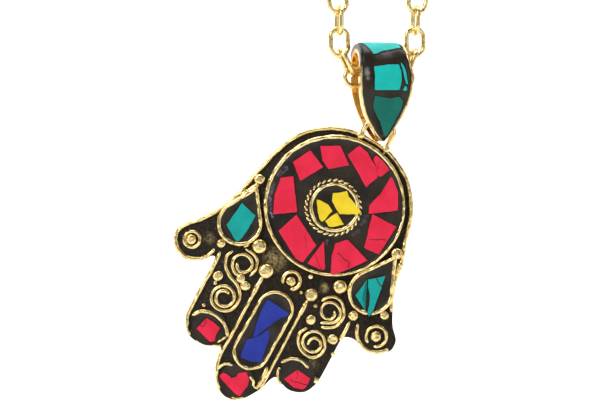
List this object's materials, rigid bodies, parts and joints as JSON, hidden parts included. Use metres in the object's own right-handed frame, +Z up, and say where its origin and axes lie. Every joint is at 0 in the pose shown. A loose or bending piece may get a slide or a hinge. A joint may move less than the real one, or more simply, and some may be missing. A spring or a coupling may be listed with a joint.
{
  "type": "hamsa pendant on a cable chain",
  "caption": "Brass hand-shaped pendant with black resin settings and stone chips, on a folded bail and an oval cable chain.",
  "frame": {"origin": "centre of the clasp ring, at the top of the loop of chain, behind the neck", "axes": "+Z straight up from the pendant to the clasp; the hand's front faces -Y; +X to the viewer's right"},
  "size_m": [0.1174, 0.0354, 0.2528],
  "materials": {
    "hand_brass": "soldered wire and plate, dark in the recesses, bright on the high places",
    "bail_brass": "satin polish",
    "chain_brass": "satin polish",
    "black_resin": "gloss",
    "coral_stone": "matte",
    "yellow_stone": "matte",
    "turquoise_stone": "matte",
    "lapis_stone": "matte"
  },
  "bodies": {
    "chain": {"chain_left": "chain_brass", "chain_right": "chain_brass", "clasp": "chain_brass"},
    "bail": {"bail_frame": "bail_brass", "bail_resin": "black_resin", "bail_turquoise_1": "turquoise_stone", "bail_turquoise_2": "turquoise_stone", "bail_turquoise_3": "turquoise_stone", "bail_turquoise_4": "turquoise_stone"},
    "hand": {"hand_frame": "hand_brass", "resin_disc": "black_resin", "resin_ring": "black_resin", "resin_centre": "black_resin", "resin_drop_left": "black_resin", "resin_drop_right": "black_resin", "resin_oval": "black_resin", "resin_tip_left": "black_resin", "resin_tip_middle": "black_resin", "resin_tip_right": "black_resin", "coral_1": "coral_stone", "coral_2": "coral_stone", "coral_3": "coral_stone", "coral_4": "coral_stone", "coral_5": "coral_stone", "coral_6": "coral_stone", "coral_7": "coral_stone", "coral_8": "coral_stone", "coral_9": "coral_stone", "coral_10": "coral_stone", "tip_coral_left": "coral_stone", "tip_coral_middle": "coral_stone", "tip_coral_right": "coral_stone", "yellow_1": "yellow_stone", "yellow_2": "yellow_stone", "yellow_3": "yellow_stone", "turquoise_left": "turquoise_stone", "turquoise_right_1": "turquoise_stone", "turquoise_right_2": "turquoise_stone", "lapis_1": "lapis_stone", "lapis_2": "lapis_stone"}
  },
  "joints": [
    {"name": "bail_swing", "type": "hinge", "parent": "chain", "child": "bail", "pos_m": [0, 0, -0.169], "axis": [0.9659, 0.2588, 0], "range_deg": [-30, 30]},
    {"name": "hand_tilt", "type": "hinge", "parent": "bail", "child": "hand", "pos_m": [0, 0, -0.1825], "axis": [0, 1, 0], "range_deg": [-72.8, 17.2]}
  ]
}
